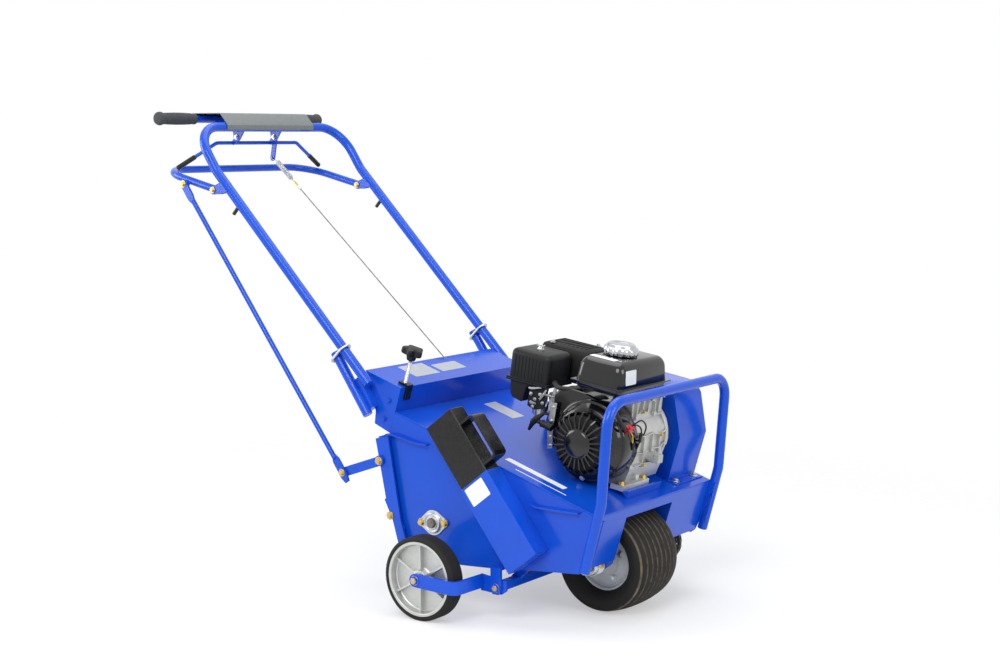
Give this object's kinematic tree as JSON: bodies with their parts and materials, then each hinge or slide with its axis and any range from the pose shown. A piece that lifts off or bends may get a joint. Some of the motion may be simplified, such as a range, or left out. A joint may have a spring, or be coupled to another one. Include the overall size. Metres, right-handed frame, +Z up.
{
  "type": "walk-behind lawn aerator",
  "caption": "Engine-driven reel of hollow tines between two rear wheels and a driven front wheel, with a tall handlebar, drop-in side weights and a lever that raises the rear wheels.",
  "frame": {"origin": "on the floor, under the middle of the machine's overall length and width", "axes": "+X forward towards the engine guard, +Y to the machine's left, +Z up"},
  "size_m": [1.4364, 0.84, 1.205],
  "materials": {
    "blue": "blue powder coat",
    "black_paint": "black enamel",
    "tyre": "black rubber, moulded",
    "rubber": "black rubber",
    "grip": "grey grip rubber, moulded",
    "zinc": "bright zinc plate",
    "cast": "as cast",
    "chrome": "chrome plate",
    "plastic": "fine moulded texture",
    "grey_sheet": "grey paint",
    "red": "moulded",
    "steel": "bare, lightly oiled",
    "tank": "satin black"
  },
  "bodies": {
    "machine": {"deck_plate": "blue", "side_plate_right": "blue", "side_plate_left": "blue", "front_panel": "blue", "rear_box": "blue", "weight_pocket_right": "blue", "weight_pocket_left": "blue", "engine_riser": "blue", "engine_guard": "blue", "belt_guard": "blue", "handlebar": "blue", "knob_bracket": "black_paint", "fan_cover": "black_paint", "muffler_guard": "black_paint", "drive_belt": "rubber", "handle_grip_right": "grip", "handle_grip_left": "grip", "reel_bearing_right": "zinc", "reel_bearing_left": "zinc", "engine_block": "cast", "carburettor": "cast", "recoil_grille": "plastic", "air_cleaner": "plastic", "console_plate": "grey_sheet", "wheel_chain": "steel", "reel_chain": "steel", "fuel_tank": "tank"},
    "drive_train": {"jackshaft": "steel"},
    "front_wheel": {"front_rim": "cast", "front_tyre": "tyre", "front_axle": "steel"},
    "tine_reel": {"reel_shaft": "steel", "tine_wheel_1": "steel", "tine_wheel_2": "steel", "tine_wheel_3": "steel", "tine_wheel_4": "steel"},
    "crank_pulley": {"drive_pulley": "cast"},
    "carriage": {"wheel_carriage": "blue"},
    "rear_wheel_right": {"rear_rim_right": "cast", "rear_tyre_right": "tyre"},
    "rear_wheel_left": {"rear_rim_left": "cast", "rear_tyre_left": "tyre"},
    "lifting_lever": {"lift_lever": "blue"},
    "link": {"lift_link": "blue"},
    "lifting_rod": {"lift_rod": "blue"},
    "lifting_handle": {"lift_handle": "blue"},
    "bail": {"clutch_bail": "blue"},
    "cable": {"clutch_spring": "zinc", "clutch_cable": "steel"},
    "right_weight": {"weight_right": "black_paint"},
    "left_weight": {"weight_left": "black_paint"},
    "right_ring": {"retaining_ring_right": "zinc"},
    "left_ring": {"retaining_ring_left": "zinc"},
    "clamp_knob": {"adjust_knob": "black_paint"},
    "tank_cap": {"fuel_cap": "chrome"},
    "oil_cap": {"oil_filler_cap": "plastic"},
    "switch": {"engine_switch": "red"},
    "throttle": {"throttle_lever": "zinc"},
    "choke": {"choke_lever": "zinc"},
    "pull_grip": {"starter_grip": "plastic"}
  },
  "joints": [
    {"name": "drive_turn", "type": "hinge", "parent": "machine", "child": "drive_train", "pos_m": [0.40575, 0, 0.3], "axis": [0, 1, 0], "continuous": true},
    {"name": "front_wheel_turn", "type": "hinge", "parent": "machine", "child": "front_wheel", "pos_m": [0.57075, -0.012, 0.12343], "axis": [0, 1, 0], "continuous": true},
    {"name": "reel_turn", "type": "hinge", "parent": "machine", "child": "tine_reel", "pos_m": [0.19775, 0, 0.204], "axis": [0, 1, 0], "continuous": true},
    {"name": "crank_turn", "type": "hinge", "parent": "machine", "child": "crank_pulley", "pos_m": [0.55675, 0, 0.4235], "axis": [0, 1, 0], "continuous": true},
    {"name": "lever_swing", "type": "hinge", "parent": "machine", "child": "lifting_lever", "pos_m": [0.04175, 0, 0.34201], "axis": [0, 1, 0], "range_deg": [-35, 0]},
    {"name": "handle_swing", "type": "hinge", "parent": "machine", "child": "lifting_handle", "pos_m": [-0.49925, 0, 1.00101], "axis": [0, 1, 0], "range_deg": [-50, 0]},
    {"name": "rod_swing", "type": "hinge", "parent": "lifting_handle", "child": "lifting_rod", "pos_m": [-0.60425, 0, 1.01501], "axis": [0, 1, 0], "range_deg": [0, 48]},
    {"name": "carriage_swing", "type": "hinge", "parent": "machine", "child": "carriage", "pos_m": [0.41775, 0, 0.085], "axis": [0, 1, 0], "range_deg": [0, 31]},
    {"name": "link_swing", "type": "hinge", "parent": "lifting_lever", "child": "link", "pos_m": [0.03307, 0, 0.29277], "axis": [0, 1, 0], "range_deg": [0, 39.5]},
    {"name": "rear_turn_right", "type": "hinge", "parent": "carriage", "child": "rear_wheel_right", "pos_m": [0.25775, -0.378, 0.10063], "axis": [0, 1, 0], "continuous": true},
    {"name": "rear_turn_left", "type": "hinge", "parent": "carriage", "child": "rear_wheel_left", "pos_m": [0.25775, 0.378, 0.10063], "axis": [0, 1, 0], "continuous": true},
    {"name": "bail_squeeze", "type": "hinge", "parent": "machine", "child": "bail", "pos_m": [-0.60225, 0, 1.13801], "axis": [0, 1, 0], "range_deg": [0, 40]},
    {"name": "cable_pull", "type": "slide", "parent": "machine", "child": "cable", "axis": [-0.7574, 0, 0.6529], "range_m": [0, 0.041], "deforming": ["clutch_spring"]},
    {"name": "right_weight_lift", "type": "slide", "parent": "machine", "child": "right_weight", "axis": [-0.6157, 0, 0.788], "range_m": [0, 0.36]},
    {"name": "left_weight_lift", "type": "slide", "parent": "machine", "child": "left_weight", "axis": [-0.6157, 0, 0.788], "range_m": [0, 0.36]},
    {"name": "right_ring_slide", "type": "slide", "parent": "machine", "child": "right_ring", "axis": [-0.7044, 0, 0.7099], "range_m": [0, 0.12]},
    {"name": "left_ring_slide", "type": "slide", "parent": "machine", "child": "left_ring", "axis": [-0.7044, 0, 0.7099], "range_m": [0, 0.12]},
    {"name": "knob_turn", "type": "hinge", "parent": "machine", "child": "clamp_knob", "pos_m": [0.08452, -0.232, 0.53182], "axis": [0.2974, 0, 0.9548], "continuous": true},
    {"name": "tank_cap_turn", "type": "hinge", "parent": "machine", "child": "tank_cap", "pos_m": [0.59914, -0.055, 0.62456], "axis": [0.1392, 0, 0.9903], "range_deg": [0, 120]},
    {"name": "oil_cap_turn", "type": "hinge", "parent": "machine", "child": "oil_cap", "pos_m": [0.64864, 0.018, 0.37322], "axis": [0.9903, 0, -0.1392], "range_deg": [0, 120]},
    {"name": "switch_turn", "type": "hinge", "parent": "machine", "child": "switch", "pos_m": [0.65194, -0.112, 0.45815], "axis": [0.9397, 0, 0.342], "range_deg": [0, 60]},
    {"name": "throttle_swing", "type": "hinge", "parent": "machine", "child": "throttle", "pos_m": [0.4324, -0.0898, 0.50157], "axis": [0, 1, 0], "range_deg": [-14, 14]},
    {"name": "choke_swing", "type": "hinge", "parent": "machine", "child": "choke", "pos_m": [0.42962, -0.0898, 0.48176], "axis": [0, 1, 0], "range_deg": [-14, 14]},
    {"name": "starter_pull", "type": "slide", "parent": "machine", "child": "pull_grip", "axis": [-0.94, 0, 0.3412], "range_m": [0, 0.3]}
  ],
  "couplings": [
    {"joint": "front_wheel_turn", "follows": "drive_turn", "ratio": 0.625},
    {"joint": "reel_turn", "follows": "drive_turn", "ratio": 0.625},
    {"joint": "handle_swing", "follows": "lever_swing", "ratio": 1.4239},
    {"joint": "rod_swing", "follows": "lever_swing", "ratio": -1.3636},
    {"joint": "carriage_swing", "follows": "lever_swing", "ratio": -0.8796},
    {"joint": "link_swing", "follows": "lever_swing", "ratio": -1.1146},
    {"joint": "cable_pull", "follows": "bail_squeeze", "m_per_rad": 0.058}
  ]
}
